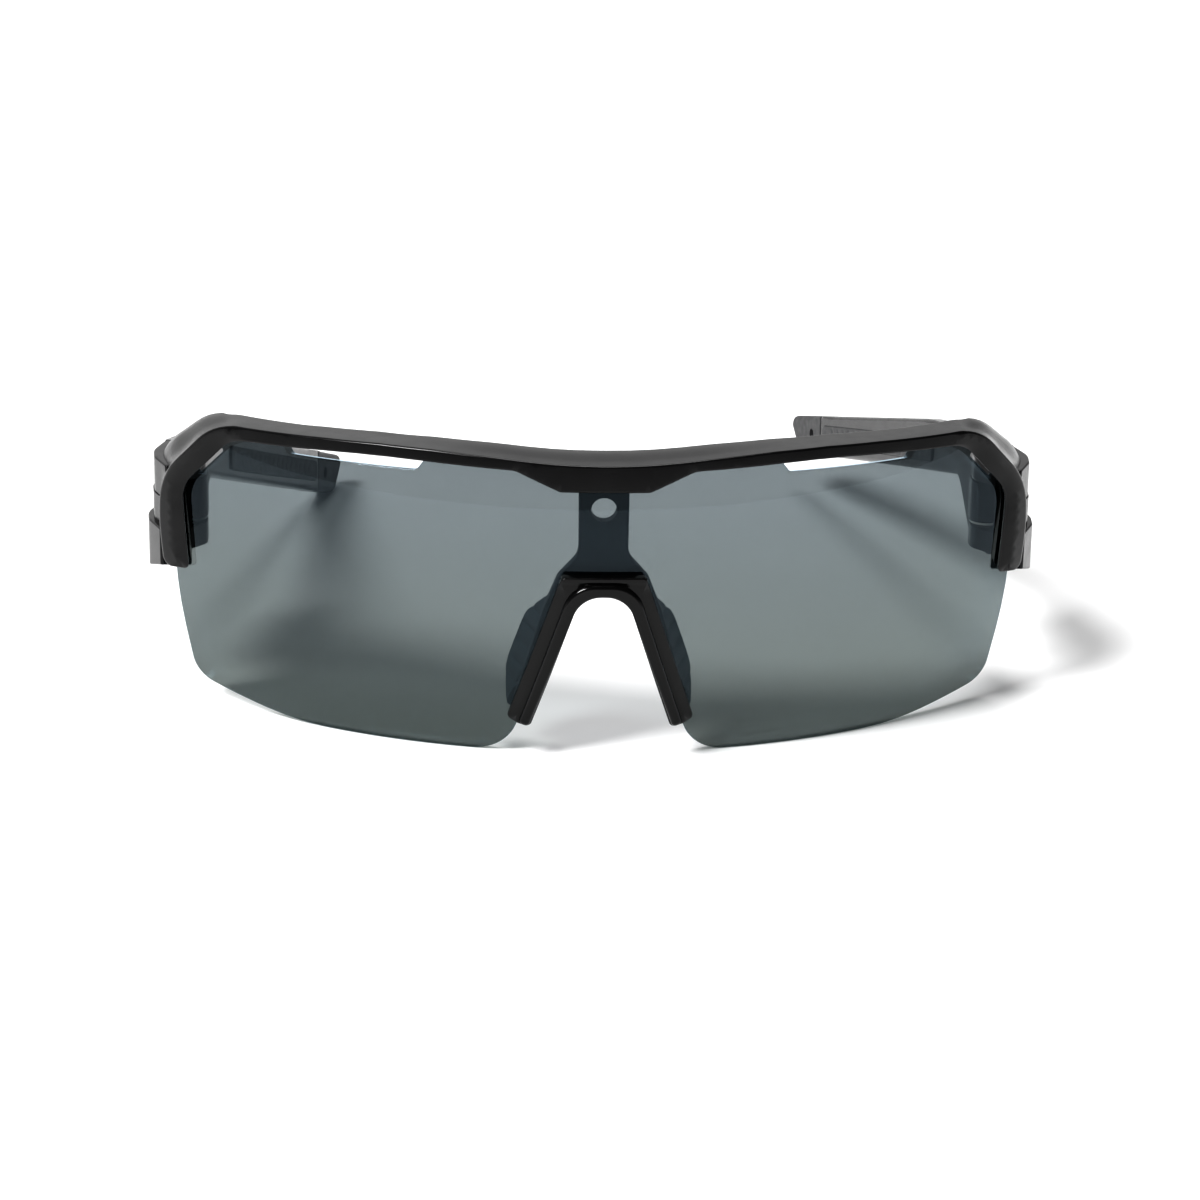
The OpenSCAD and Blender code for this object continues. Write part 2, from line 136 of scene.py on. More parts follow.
# ---- Outlines ----
def rounded(points):
    """A closed outline of (u, v, corner radius) points, with every corner turned into an arc."""
    turn_step = 7
    made = []
    count = len(points)
    for i, (u, v, radius) in enumerate(points):
        corner = np.array([u, v], float)
        back = np.array(points[i - 1][:2]) - corner
        ahead = np.array(points[(i + 1) % count][:2]) - corner
        back, ahead = back / np.linalg.norm(back), ahead / np.linalg.norm(ahead)
        inside = math.acos(max(-1.0, min(1.0, float(back @ ahead))))
        turn = math.pi - inside
        if radius == 0 or turn < 0.002:
            made.append(corner)
            continue
        middle = (back + ahead) / np.linalg.norm(back + ahead)
        centre = corner + middle * radius / math.sin(inside / 2)
        reach = radius / math.tan(inside / 2)
        start, end = corner + back * reach - centre, corner + ahead * reach - centre
        steps = max(3, math.ceil(math.degrees(turn) / turn_step))
        for k in range(steps + 1):
            share = k / steps
            blend = math.sin(turn * (1 - share)) * start + math.sin(turn * share) * end
            made.append(centre + blend / math.sin(turn))
    return np.array(made)


def both_halves(half):
    """An outline of the wearer's left half, closed with its mirror image."""
    return list(half) + [(-x, z, r) for x, z, r in reversed(half)]


def circle(u, v, radius, height=None, points=48):
    """A circle about u and v, or an ellipse when height gives a second half axis."""
    angles = np.linspace(0, 2 * math.pi, points, endpoint=False)
    return np.array([(u + radius * math.cos(a), v + (height or radius) * math.sin(a)) for a in angles])


def anticlockwise(outline):
    """The outline, turned round if it runs clockwise."""
    x, y = outline[:, 0], outline[:, 1]
    area = np.sum(x * np.roll(y, -1) - np.roll(x, -1) * y)
    return outline if area > 0 else outline[::-1]


def resampled(outline, longest):
    """The outline with points added, so that no edge is longer than this, and doubled points left out."""
    made = []
    for a, b in zip(outline, np.roll(outline, -1, axis=0)):
        length = np.linalg.norm(b - a)
        if length < 0.01:
            continue
        parts = max(1, math.ceil(length / longest))
        made += [a + (b - a) * k / parts for k in range(parts)]
    return np.array(made)


def inset(outline, distance):
    """Moves an anticlockwise outline inwards by one distance, or by one for each point."""
    before = outline - np.roll(outline, 1, axis=0)
    after = np.roll(outline, -1, axis=0) - outline

    def inward(edge):
        return np.stack([-edge[:, 1], edge[:, 0]], 1) / np.linalg.norm(edge, axis=1)[:, None]

    first = inward(before)
    middle = first + inward(after)
    middle /= np.linalg.norm(middle, axis=1)[:, None]
    cosine = np.clip(np.sum(middle * first, axis=1), 0.5, 1)
    ring = outline + middle * (distance / cosine)[:, None]
    return closed_up(ring, after)


def closed_up(ring, kept):
    """Where moving inwards has turned a run of edges round, its points meet in one corner."""
    passes, nearly_parallel, slack = 4, 0.02, 0.2
    count = len(ring)
    for _ in range(passes):
        edges = np.roll(ring, -1, axis=0) - ring
        turned = np.sum(edges * kept, axis=1) <= 0
        lengths = np.linalg.norm(edges, axis=1)
        turned &= lengths > 1e-9
        if not turned.any() or turned.all():
            return ring
        start = int(np.argmin(turned))
        order = [(start + k) % count for k in range(count)]
        k = 0
        while k < count:
            if not turned[order[k]]:
                k += 1
                continue
            last = k
            while last + 1 < count and turned[order[(last + 1) % count]]:
                last += 1
            first_point, last_point = order[k], order[(last + 1) % count]
            a, b = ring[first_point], ring[last_point]
            before, after = kept[order[k - 1]], kept[order[(last + 1) % count]]
            across = before[0] * after[1] - before[1] * after[0]
            meet = (a + b) / 2
            if abs(across) > nearly_parallel * np.linalg.norm(before) * np.linalg.norm(after):
                share = ((b - a)[0] * after[1] - (b - a)[1] * after[0]) / across
                cross = a + before * share
                if np.linalg.norm(cross - meet) < 3 * np.linalg.norm(b - a) + slack:
                    meet = cross
            for m in range(k, last + 2):
                ring[order[m % count]] = meet
            k = last + 1
    return ring


def grid_inside(outline, spacing):
    """Points of a triangular grid that lie inside an outline, clear of its edge."""
    low, high = outline.min(0), outline.max(0)
    rows = np.arange(low[1], high[1], spacing * 0.866)
    points = [
        (u, v)
        for k, v in enumerate(rows)
        for u in np.arange(low[0] + (k % 2) * spacing / 2, high[0], spacing)
    ]
    if not points:
        return np.zeros((0, 2))
    points = np.array(points)
    inside = np.zeros(len(points), bool)
    nearest = np.full(len(points), 1e9)
    for a, b in zip(outline, np.roll(outline, -1, axis=0)):
        if a[1] != b[1]:
            crosses = (points[:, 1] < a[1]) != (points[:, 1] < b[1])
            at = a[0] + (points[:, 1] - a[1]) / (b[1] - a[1]) * (b[0] - a[0])
            inside ^= crosses & (points[:, 0] < at)
        along = np.clip(((points - a) @ (b - a)) / max((b - a) @ (b - a), 1e-9), 0, 1)
        gap = np.linalg.norm(points - (a + along[:, None] * (b - a)), axis=1)
        nearest = np.minimum(nearest, gap)
    return points[inside & (nearest > spacing * 0.55)]


# ---- Meshes ----
# Where a flared wall leans out, as shares of the way from its front to its back.
FLARE_START, FLARE_END = 0.1, 0.82
FLARE_SHARES = (0.25, 0.4, 0.55, 0.7, FLARE_END)


def smooth_step(t):
    """An even rise from 0 to 1 as t goes from 0 to 1."""
    t = np.clip(t, 0, 1)
    return t * t * (3 - 2 * t)


def per_point(value, outline):
    """A number, or a function of u and v, as one number for each point of an outline."""
    if callable(value):
        return np.asarray(value(outline[:, 0], outline[:, 1]), float)
    return np.full(len(outline), float(value))


def plate(outline, front, back, edge=0.3, spacing=1.2, chamfer=None, flare=None, steps=4):
    """Closed mesh over an outline between two surfaces, as vertices, faces and the faces' parts.

    front and back turn u and v into points. edge is the radius of the rounded edges. chamfer gives
    the width and depth of a bevel on the front, and flare how far the walls lean out towards the
    back. Part 0 is the front and back, and part 1 is the edge all round.
    """
    outline = resampled(anticlockwise(np.asarray(outline, float)), spacing)
    radius = per_point(edge, outline)
    bevel = per_point(chamfer[0], outline) if chamfer else np.zeros(len(outline))
    bevel_depth = per_point(chamfer[1], outline) if chamfer else np.zeros(len(outline))
    lean = per_point(flare, outline) if flare else np.zeros(len(outline))
    angles = [math.pi / 2 * k / steps for k in range(steps + 1)]

    def level(distance, depth, from_back=False, share=None):
        ring = inset(outline, distance)
        a, b = front(ring[:, 0], ring[:, 1]), back(ring[:, 0], ring[:, 1])
        if share is not None:
            return ring, a + (b - a) * share
        way = (b - a) / np.linalg.norm(b - a, axis=1)[:, None]
        return ring, (b - way * depth[:, None]) if from_back else (a + way * depth[:, None])

    levels = []
    if chamfer:
        levels.append(level(radius + bevel, radius * 0))
    for a in angles:
        levels.append(level(radius * (1 - math.sin(a)), bevel_depth + radius * (1 - math.cos(a))))
    for share in FLARE_SHARES if flare else ():
        reached = smooth_step((share - FLARE_START) / (FLARE_END - FLARE_START))
        levels.append(level(-lean * reached, None, share=share))
    for a in reversed(angles):
        levels.append(
            level(radius * (1 - math.sin(a)) - lean, radius * (1 - math.cos(a)), from_back=True)
        )

    count = len(outline)
    points = [p for _, ring in levels for p in ring]
    faces, parts = [], []
    for k in range(len(levels) - 1):
        for i in range(count):
            j = (i + 1) % count
            faces.append((k * count + i, k * count + j, (k + 1) * count + j, (k + 1) * count + i))
            parts.append(1)
    for (ring, _), first, surface in (
        (levels[0], 0, front),
        (levels[-1], (len(levels) - 1) * count, back),
    ):
        inner = grid_inside(ring, spacing)
        numbers = list(range(first, first + count))
        numbers += range(len(points), len(points) + len(inner))
        if len(inner):
            points += list(surface(inner[:, 0], inner[:, 1]))
        flat = [Vector(p) for p in ring] + [Vector(p) for p in inner]
        found = delaunay_2d_cdt(flat, [], [list(range(count))], 1, 1e-7)
        origin = []
        for place, known in zip(found[0], found[3]):
            if not known:
                points.append(surface(np.array([place[0]]), np.array([place[1]]))[0])
            origin.append(numbers[known[0]] if known else len(points) - 1)
        for face in found[2]:
            faces.append(tuple(origin[i] for i in face))
            parts.append(0)
    return np.array(points), faces, parts


def lathe(profile, closed=False):
    """A turned shape about the hinge's axis: profile is (radius, z) points, going up its outside."""
    segments = 64
    points, faces = [], []
    count = len(profile)
    for s in range(segments):
        a = 2 * math.pi * s / segments
        points += [(PIVOT_X + r * math.cos(a), PIVOT_Y + r * math.sin(a), z) for r, z in profile]
    for s in range(segments):
        t = (s + 1) % segments
        for k in range(count if closed else count - 1):
            m = (k + 1) % count
            faces.append((s * count + k, t * count + k, t * count + m, s * count + m))
    return np.array(points), faces, [0] * len(faces)


def placed(name, data):
    """A new object in the scene for a mesh, camera or light."""
    made = bpy.data.objects.new(name, data)
    bpy.context.scene.collection.objects.link(made)
    return made


def solid(name, shape, mirror=False):
    """A new object holding one shape, in metres and in the row frame."""
    points, faces, parts = shape
    points = np.array(points, float)
    if mirror:
        points[:, 0] *= -1
    points = points * MM
    points[:, 1] += FRONT_Y
    mesh = bpy.data.meshes.new(name)
    mesh.from_pydata([tuple(p) for p in points], [], faces)
    mesh.polygons.foreach_set("material_index", parts)
    bm = bmesh.new()
    bm.from_mesh(mesh)
    bmesh.ops.remove_doubles(bm, verts=bm.verts, dist=SAME_PLACE)
    bmesh.ops.dissolve_degenerate(bm, edges=bm.edges, dist=SAME_PLACE / 2)
    bmesh.ops.recalc_face_normals(bm, faces=bm.faces)
    bm.to_mesh(mesh)
    bm.free()
    return placed(name, mesh)


def combine(base, tool, operation):
    """Joins, cuts or crops base with another solid, which is used up."""
    change = base.modifiers.new("combine", "BOOLEAN")
    change.operation = operation
    change.solver = "MANIFOLD"
    change.object = tool
    bpy.context.view_layer.update()
    graph = bpy.context.evaluated_depsgraph_get()
    mesh = bpy.data.meshes.new_from_object(base.evaluated_get(graph))
    base.modifiers.clear()
    base.data = mesh
    bpy.data.objects.remove(tool)


def cleaned(mesh):
    """Closes the hair-thin slivers that the boolean steps leave, and drops loose scraps of them."""
    bm = bmesh.new()
    bm.from_mesh(mesh)
    bmesh.ops.remove_doubles(bm, verts=bm.verts, dist=SLIVER)
    bmesh.ops.dissolve_degenerate(bm, edges=bm.edges, dist=SLIVER * 2 / 3)
    left = set(bm.faces)
    while left:
        island, waiting = set(), [left.pop()]
        while waiting:
            face = waiting.pop()
            island.add(face)
            near = {f for e in face.edges for f in e.link_faces} & left
            left -= near
            waiting += list(near)
        if len(island) < SMALLEST_ISLAND:
            bmesh.ops.delete(bm, geom=list(island), context="FACES")
    bm.to_mesh(mesh)
    bm.free()


def finished(piece, materials, body, nodes, sharp=38):
    """Shades and paints a piece, hangs it on its body's empty and hides the CAD parts that it stands for.
    """
    mesh = piece.data
    cleaned(mesh)
    mesh.materials.clear()
    for material in materials:
        mesh.materials.append(material)
    if len(materials) == 1:
        mesh.polygons.foreach_set("material_index", [0] * len(mesh.polygons))
    mesh.polygons.foreach_set("use_smooth", [True] * len(mesh.polygons))
    mesh.set_sharp_from_angle(angle=math.radians(sharp))
    mesh.update()
    normals = piece.modifiers.new("even_shading", "WEIGHTED_NORMAL")
    normals.keep_sharp = True
    normals.weight = 60
    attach(piece, body)
    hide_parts(*nodes)


# ---- Surfaces ----
def shell(radius):
    """A sphere about the lens's centre, with x and z kept as they are."""

    def surface(x, z):
        depth = np.sqrt(radius**2 - x**2 - (z - LENS_CENTRE_Z) ** 2)
        return np.stack([x, LENS_RADIUS - depth, z], -1)

    return surface


def lens_surface(radius):
    """A sphere about the lens's centre, reached square to the lens from x and z on its outside."""

    def surface(x, z):
        depth = np.sqrt(LENS_RADIUS**2 - x**2 - (z - LENS_CENTRE_Z) ** 2)
        arrow = np.stack([x, -depth, z - LENS_CENTRE_Z], -1) * (radius / LENS_RADIUS)
        return arrow + np.array([0, LENS_RADIUS, LENS_CENTRE_Z])

    return surface


def frame_back(x, z):
    """Back of the front frame: it follows the lens at the arms and is deeper over the brow."""
    arms = shell(FRAME_INNER)(x, z)[:, 1]
    centre_y = BROW_BACK_AT_TOP + math.sqrt(BROW_BACK_RADIUS**2 - BROW_RISE**2)
    brow = centre_y - np.sqrt(BROW_BACK_RADIUS**2 - x**2 - (z - LENS_CENTRE_Z) ** 2)
    return np.stack([x, np.maximum(arms, brow), z], -1)


def level_surface(height):
    """A surface over x and y at one height, or at the height that a function of y gives."""

    def surface(x, y):
        z = height(y) if callable(height) else np.full(len(x), float(height))
        return np.stack([x, y, z], -1)

    return surface


def temple_x(inset_by, y):
    """x of an upright surface that follows the temple's curve, inset_by inside its outer face."""
    radius = TEMPLE_CURVE - inset_by
    curve_x = SPLIT_X - TEMPLE_CURVE * math.cos(TEMPLE_TOE_IN)
    curve_y = SPLIT_Y - TEMPLE_CURVE * math.sin(TEMPLE_TOE_IN)
    return curve_x + np.sqrt(radius**2 - (y - curve_y) ** 2)


def temple_surface(inset_by, relief=None):
    """The surface above over y and z, moved inwards by relief, a function of y and z."""

    def surface(y, z):
        x = temple_x(inset_by, y)
        return np.stack([x - relief(y, z) if relief else x, y, z], -1)

    return surface


# ---- Materials ----
def map_range(tree, source, low, high, from_low, from_high, kind="LINEAR"):
    """A node that takes from_low to low and from_high to high, held at both ends."""
    node = tree.nodes.new("ShaderNodeMapRange")
    node.interpolation_type = kind
    tree.links.new(source, node.inputs["Value"])
    node.inputs["From Min"].default_value = from_low
    node.inputs["From Max"].default_value = from_high
    node.inputs["To Min"].default_value = low
    node.inputs["To Max"].default_value = high
    return node.outputs["Result"]


class Nodes:
    """A new material's node tree, with short ways to add and link nodes."""

    def __init__(self, name):
        self.material = bpy.data.materials.new(name)
        self.material.use_nodes = True
        self.tree = self.material.node_tree
        self.tree.nodes.clear()
        self.output = self.add("ShaderNodeOutputMaterial")
        self.place = self.add("ShaderNodeTexCoord").outputs["Object"]

    def add(self, kind, **values):
        node = self.tree.nodes.new(kind)
        for key, value in values.items():
            setattr(node, key, value)
        return node

    def link(self, source, target):
        self.tree.links.new(source, target)

    def noise(self, scale, detail=3.0, roughness=0.5):
        node = self.add("ShaderNodeTexNoise")
        self.link(self.place, node.inputs["Vector"])
        node.inputs["Scale"].default_value = scale
        node.inputs["Detail"].default_value = detail
        node.inputs["Roughness"].default_value = roughness
        return node.outputs["Fac"]

    def remap(self, source, low, high, from_low=0.3, from_high=0.7):
        """Spreads the middle of a noise, where most of it lies, over low to high."""
        return map_range(self.tree, source, low, high, from_low, from_high)

    def blend(self, share, first, second):
        """A colour between two, at a share from 0 to 1."""
        node = self.add("ShaderNodeMix", data_type="RGBA")
        self.link(share, node.inputs[0])
        node.inputs[6].default_value = (*first, 1)
        node.inputs[7].default_value = (*second, 1)
        return node.outputs[2]

    def bump(self, height, strength, distance, under=None):
        """A bumped normal, on top of another one where under gives it."""
        node = self.add("ShaderNodeBump")
        self.link(height, node.inputs["Height"])
        node.inputs["Strength"].default_value = strength
        node.inputs["Distance"].default_value = distance
        if under is not None:
            self.link(under, node.inputs["Normal"])
        return node.outputs["Normal"]

    def scratches(self, stretch, scale):
        """Fine hairlines: noise drawn out along one direction."""
        mapping = self.add("ShaderNodeMapping")
        mapping.inputs["Scale"].default_value = stretch
        mapping.inputs["Rotation"].default_value = (0.5, 0.3, 0.9)
        self.link(self.place, mapping.inputs["Vector"])
        node = self.add("ShaderNodeTexNoise")
        self.link(mapping.outputs["Vector"], node.inputs["Vector"])
        node.inputs["Scale"].default_value = scale
        node.inputs["Detail"].default_value = 2.0
        return node.outputs["Fac"]


def moulded_plastic(name, dark, light, gloss, grain, coat=0.0):
    """Moulded plastic: spark-eroded grain in the bump, cloudy gloss, and faint hairline scratches."""
    n = Nodes(name)
    shader = n.add("ShaderNodeBsdfPrincipled")
    clouds = n.noise(90, 4.0)
    n.link(n.blend(n.remap(clouds, 0, 1), dark, light), shader.inputs["Base Color"])
    n.link(n.remap(n.noise(240, 5.0, 0.6), *gloss), shader.inputs["Roughness"])
    texture = n.bump(n.noise(5200, 2.0), grain, 0.00002)
    hairline = n.remap(n.scratches((40, 40, 900), 4.0), 0, 1, 0.62, 0.78)
    normal = n.bump(hairline, 0.12, 0.00001, texture)
    n.link(normal, shader.inputs["Normal"])
    shader.inputs["Specular IOR Level"].default_value = 0.32
    shader.inputs["Coat Weight"].default_value = coat
    shader.inputs["Coat Roughness"].default_value = 0.12
    n.link(shader.outputs[0], n.output.inputs["Surface"])
    return n.material


def soft_rubber(name, dark, light, stipple):
    """Soft-touch elastomer: matt, finely stippled, a little dusty, with a soft sheen."""
    n = Nodes(name)
    shader = n.add("ShaderNodeBsdfPrincipled")
    n.link(n.blend(n.remap(n.noise(300, 6.0, 0.7), 0, 1), dark, light), shader.inputs["Base Color"])
    n.link(n.remap(n.noise(700, 4.0), 0.52, 0.72), shader.inputs["Roughness"])
    cells = n.add("ShaderNodeTexVoronoi")
    n.link(n.place, cells.inputs["Vector"])
    cells.inputs["Scale"].default_value = 3200
    texture = n.bump(cells.outputs["Distance"], stipple, 0.00003)
    n.link(n.bump(n.noise(900, 3.0), 0.1, 0.00004, texture), shader.inputs["Normal"])
    shader.inputs["Sheen Weight"].default_value = 0.15
    shader.inputs["Sheen Roughness"].default_value = 0.5
    n.link(shader.outputs[0], n.output.inputs["Surface"])
    return n.material


def turned_metal(name, dark, light, roughness):
    """Turned metal: fine rings about the upright axis, and slight stains."""
    n = Nodes(name)
    shader = n.add("ShaderNodeBsdfPrincipled")
    n.link(n.blend(n.remap(n.noise(900, 4.0), 0, 1), dark, light), shader.inputs["Base Color"])
    n.link(n.remap(n.noise(2600, 3.0), *roughness), shader.inputs["Roughness"])
    rings = n.scratches((300, 300, 9000), 1.0)
    n.link(n.bump(rings, 0.25, 0.00001), shader.inputs["Normal"])
    shader.inputs["Metallic"].default_value = 1
    n.link(shader.outputs[0], n.output.inputs["Surface"])
    return n.material


def smoke_lens(name, tint, foot_tint, gloss_floor):
    """Smoke polycarbonate: each face tints what is behind it, ever more like foot_tint towards the
    bottom, and mirrors a little, by gloss_floor face on and by more at a slant."""
    n = Nodes(name)
    see = n.add("ShaderNodeBsdfTransparent")
    fade = n.add("ShaderNodeSeparateXYZ")
    n.link(n.place, fade.inputs[0])
    slope = n.remap(fade.outputs["Z"], 1, 0, 0.0, 0.05)
    n.link(n.blend(slope, tint, foot_tint), see.inputs["Color"])
    shine = n.add("ShaderNodeBsdfGlossy")
    shine.inputs["Color"].default_value = (0.72, 0.88, 1, 1)
    n.link(n.remap(n.noise(35, 5.0), 0.015, 0.05), shine.inputs["Roughness"])
    ripple = n.bump(n.noise(60, 2.0), 0.04, 0.0001)
    n.link(ripple, shine.inputs["Normal"])
    facing = n.add("ShaderNodeLayerWeight")
    facing.inputs["Blend"].default_value = 0.5
    steep = n.add("ShaderNodeMath", operation="POWER")
    n.link(facing.outputs["Facing"], steep.inputs[0])
    steep.inputs[1].default_value = 5
    share = n.add("ShaderNodeMath", operation="MULTIPLY_ADD")
    n.link(steep.outputs[0], share.inputs[0])
    share.inputs[1].default_value = 0.9
    share.inputs[2].default_value = gloss_floor
    mix = n.add("ShaderNodeMixShader")
    n.link(share.outputs[0], mix.inputs[0])
    n.link(see.outputs[0], mix.inputs[1])
    n.link(shine.outputs[0], mix.inputs[2])
    n.link(mix.outputs[0], n.output.inputs["Surface"])
    return n.material


def floor_paper(name):
    """Matt white paper, slightly uneven."""
    n = Nodes(name)
    shader = n.add("ShaderNodeBsdfPrincipled")
    paper = n.blend(n.remap(n.noise(12, 3.0), 0, 1), (0.9, 0.9, 0.9), (0.93, 0.93, 0.93))
    n.link(paper, shader.inputs["Base Color"])
    n.link(n.remap(n.noise(50, 2.0), 0.75, 0.9), shader.inputs["Roughness"])
    shader.inputs["Specular IOR Level"].default_value = 0.1
    n.link(shader.outputs[0], n.output.inputs["Surface"])
    return n.material


nylon = moulded_plastic(
    "satin_nylon", (0.004, 0.004, 0.0042), (0.008, 0.008, 0.0084), gloss=(0.17, 0.27), grain=0.04)
clip_gloss = moulded_plastic(
    "clip_gloss", (0.003, 0.003, 0.003), (0.006, 0.006, 0.006), gloss=(0.1, 0.17), grain=0.02)
carrier_nylon = moulded_plastic(
    "carrier_nylon", (0.05, 0.075, 0.1), (0.065, 0.095, 0.125), gloss=(0.4, 0.5), grain=0.04)
inlay_gloss = moulded_plastic(
    "inlay_gloss", (0.03, 0.03, 0.032), (0.045, 0.045, 0.048), gloss=(0.12, 0.2), grain=0.03, coat=0.4)
washer_nylon = moulded_plastic(
    "washer_nylon", (0.62, 0.61, 0.57), (0.7, 0.69, 0.65), gloss=(0.3, 0.4), grain=0.08)
pad_rubber = soft_rubber("pad_rubber", (0.13, 0.165, 0.2), (0.15, 0.19, 0.23), stipple=0.08)
grip_rubber = soft_rubber("grip_rubber", (0.012, 0.0125, 0.014), (0.018, 0.0185, 0.02), stipple=0.15)
steel = turned_metal("screw_steel", (0.5, 0.5, 0.51), (0.62, 0.62, 0.63), roughness=(0.22, 0.34))
brass = turned_metal("insert_brass", (0.6, 0.44, 0.2), (0.72, 0.56, 0.3), roughness=(0.25, 0.38))
smoke = smoke_lens("smoke_lens", (0.43, 0.455, 0.468), (0.40, 0.42, 0.405), gloss_floor=0.033)
smoke_edge = smoke_lens("smoke_lens_edge", (0.12, 0.14, 0.14), (0.1, 0.12, 0.12), gloss_floor=0.06)


# ---- Front ----
FRAME_HALF = [
    (6, 47.1, 140), (30, 49, 200), (60, 47.6, 10), (69.2, 37.3, 12), (69.6, 30, 40),
    (68.9, 22.7, 1.4), (64.6, 22.7, 1), (65.6, 36.2, 6), (57.1, 45.6, 6), (35, 46.95, 150),
    (13.6, 46.1, 3), (6.8, 43.15, 1.2),
]
GROOVE_HALF = [
    (6, 46.55, 140), (30, 48, 200), (58.6, 46.8, 6), (67.4, 37.2, 5), (67.6, 30, 30), (67.1, 12, 0),
]


def nose_x(z):
    """x of the nose gap's side at height z."""
    return 11.1 - (z - 4.7) * LEG_LEAN


def notch_x(z):
    """x of the lens's cut-out beside the nose at height z."""
    return nose_x(z) + 1.9


def leg_x(z):
    """x of the outer edge of the legs beside the nose at height z."""
    return nose_x(z) + 3.96


def arch(edge):
    """Upper corner of the nose gap, grown outwards by edge."""
    return (nose_x(NOSE_GAP_TOP) + edge * 0.72, NOSE_GAP_TOP + edge, 4.4 + edge * 0.5)


NOTCH_TOP = NOSE_GAP_TOP + LIP_WIDTH
LENS_HALF = [
    (6, 46.35, 140), (26.6, 47.25, 0.6), (28.4, 44.95, 0.8), (48.1, 44.75, 0.8), (49.4, 46.85, 0.6),
    (57.2, 46.3, 1.5), (59.9, 44.3, 0.3), (58.7, 43.1, 0.3), (63.2, 38.2, 0.3), (64.4, 39.3, 0.3),
    (66.6, 36.9, 4), (67.3, 28, 30), (66.9, 18, 80), (64.2, 3.6, 4.5), (47.5, 0, 50),
    (notch_x(0), 0, 7), (notch_x(NOTCH_TOP), NOTCH_TOP, 4.2),
]


def past_corner(x, z):
    """Distance outwards from the slanted corner, which joins the brow to the arm."""
    return ((x - 58.5) * 9.8 + (z - 46.6) * 8.8) / 13.2


def inner_bevel(x, z):
    """Width of the frame's bevel beside the lens, which runs round the corner and down the arm."""
    x = np.abs(x)
    beside_arm = smooth_step((67.4 - x) / 1.6)
    share = np.where(z > 36.8, smooth_step(-past_corner(x, z) / 1.2), beside_arm)
    return 1.45 * share * smooth_step((x - 55) / 5)


def brow_flare(x, z):
    """How far the frame's outer wall leans out towards its back: most at the corners."""
    x = np.abs(x)
    middle = np.interp(x, [0, 8, 13, 30, 57, 60], [45, 45, 46.7, 47.9, 46.7, 45])
    above_brow = smooth_step((z - middle) / 0.8)
    outside = np.where(x < 57, above_brow, smooth_step(past_corner(x, z) / 0.8))
    lean = np.interp(x, [0, 15, 30, 57, 60, 66], [0.45, 0.35, 0, 0, 0.5, 1.5])
    return lean * outside * smooth_step((z - 32) / 5)


def endpiece_plan(set_back):
    """Plan of an endpiece, its outside set back by some amount."""
    end_y = SPLIT_Y - SPLIT_GAP / 2
    return rounded([
        (64.8, 33.8, 0), (69.4 - set_back, 30.6, 0.4), (71.8 - set_back, 36.5, 5),
        (72.3 - set_back, 41, 8), (SPLIT_X - set_back, end_y, 0),
        (SPLIT_X - TEMPLE_THICKNESS - 0.03, end_y, 0), (67.3, 42, 8), (66, 37, 6),
    ])


def underside(y):
    """Height of an endpiece's underside, which rises towards the frame."""
    return ENDPIECE_BOTTOM + 0.29 * np.maximum(0, 41 - y)


def knuckle(low, high, reach, wall_x):
    """A hinge knuckle with its web, which runs to a wall at distance reach along y."""
    ahead = math.copysign(1, reach)
    outline = rounded([
        (PIVOT_X + KNUCKLE_RADIUS, PIVOT_Y - ahead * KNUCKLE_RADIUS, 2.5),
        (PIVOT_X - KNUCKLE_RADIUS, PIVOT_Y - ahead * KNUCKLE_RADIUS, 2.5),
        (PIVOT_X - KNUCKLE_RADIUS, PIVOT_Y + reach * 0.3, 2.5),
        (wall_x - 0.5, PIVOT_Y + reach, 0), (wall_x + 0.5, PIVOT_Y + reach, 0),
    ])
    return plate(outline, level_surface(high), level_surface(low), edge=0.2, spacing=0.9)


def pivot_cut(radius, low, high):
    """A cylinder about the hinge's axis."""
    return lathe([(0, low), (radius, low), (radius, high), (0, high)])


def endpiece_shapes():
    """The pieces of an endpiece: lower block, recessed groove, upper block and the two hinge lugs."""
    wall = SPLIT_X - TEMPLE_THICKNESS + 0.8
    return [
        plate(endpiece_plan(GROOVE_DEPTH), level_surface(GROOVE_HIGH + 0.4),
              level_surface(GROOVE_LOW - 0.4), edge=0.05),
        plate(endpiece_plan(0), level_surface(GROOVE_LOW), level_surface(underside), edge=0.3),
        plate(endpiece_plan(SHOULDER), level_surface(ENDPIECE_TOP), level_surface(GROOVE_HIGH),
              edge=0.3),
        knuckle(LUG_BOTTOM, KNUCKLE_LOW - LUG_GAP, -8, wall),
        knuckle(KNUCKLE_HIGH + LUG_GAP, LUG_TOP, -8, wall),
    ]


def endpiece_cuts():
    """Room for the knuckle, the screw's shank, the screw's head and the insert."""
    return [
        pivot_cut(KNUCKLE_RADIUS + SWING_GAP, KNUCKLE_LOW - LUG_GAP, KNUCKLE_HIGH + LUG_GAP),
        pivot_cut(PIN_RADIUS + 0.02, KNUCKLE_HIGH, 50),
        pivot_cut(SCREW_HEAD_RADIUS + 0.05, SCREW_HEAD_FOOT, 50),
        pivot_cut(INSERT_RADIUS + 0.01, 15, KNUCKLE_LOW),
    ]


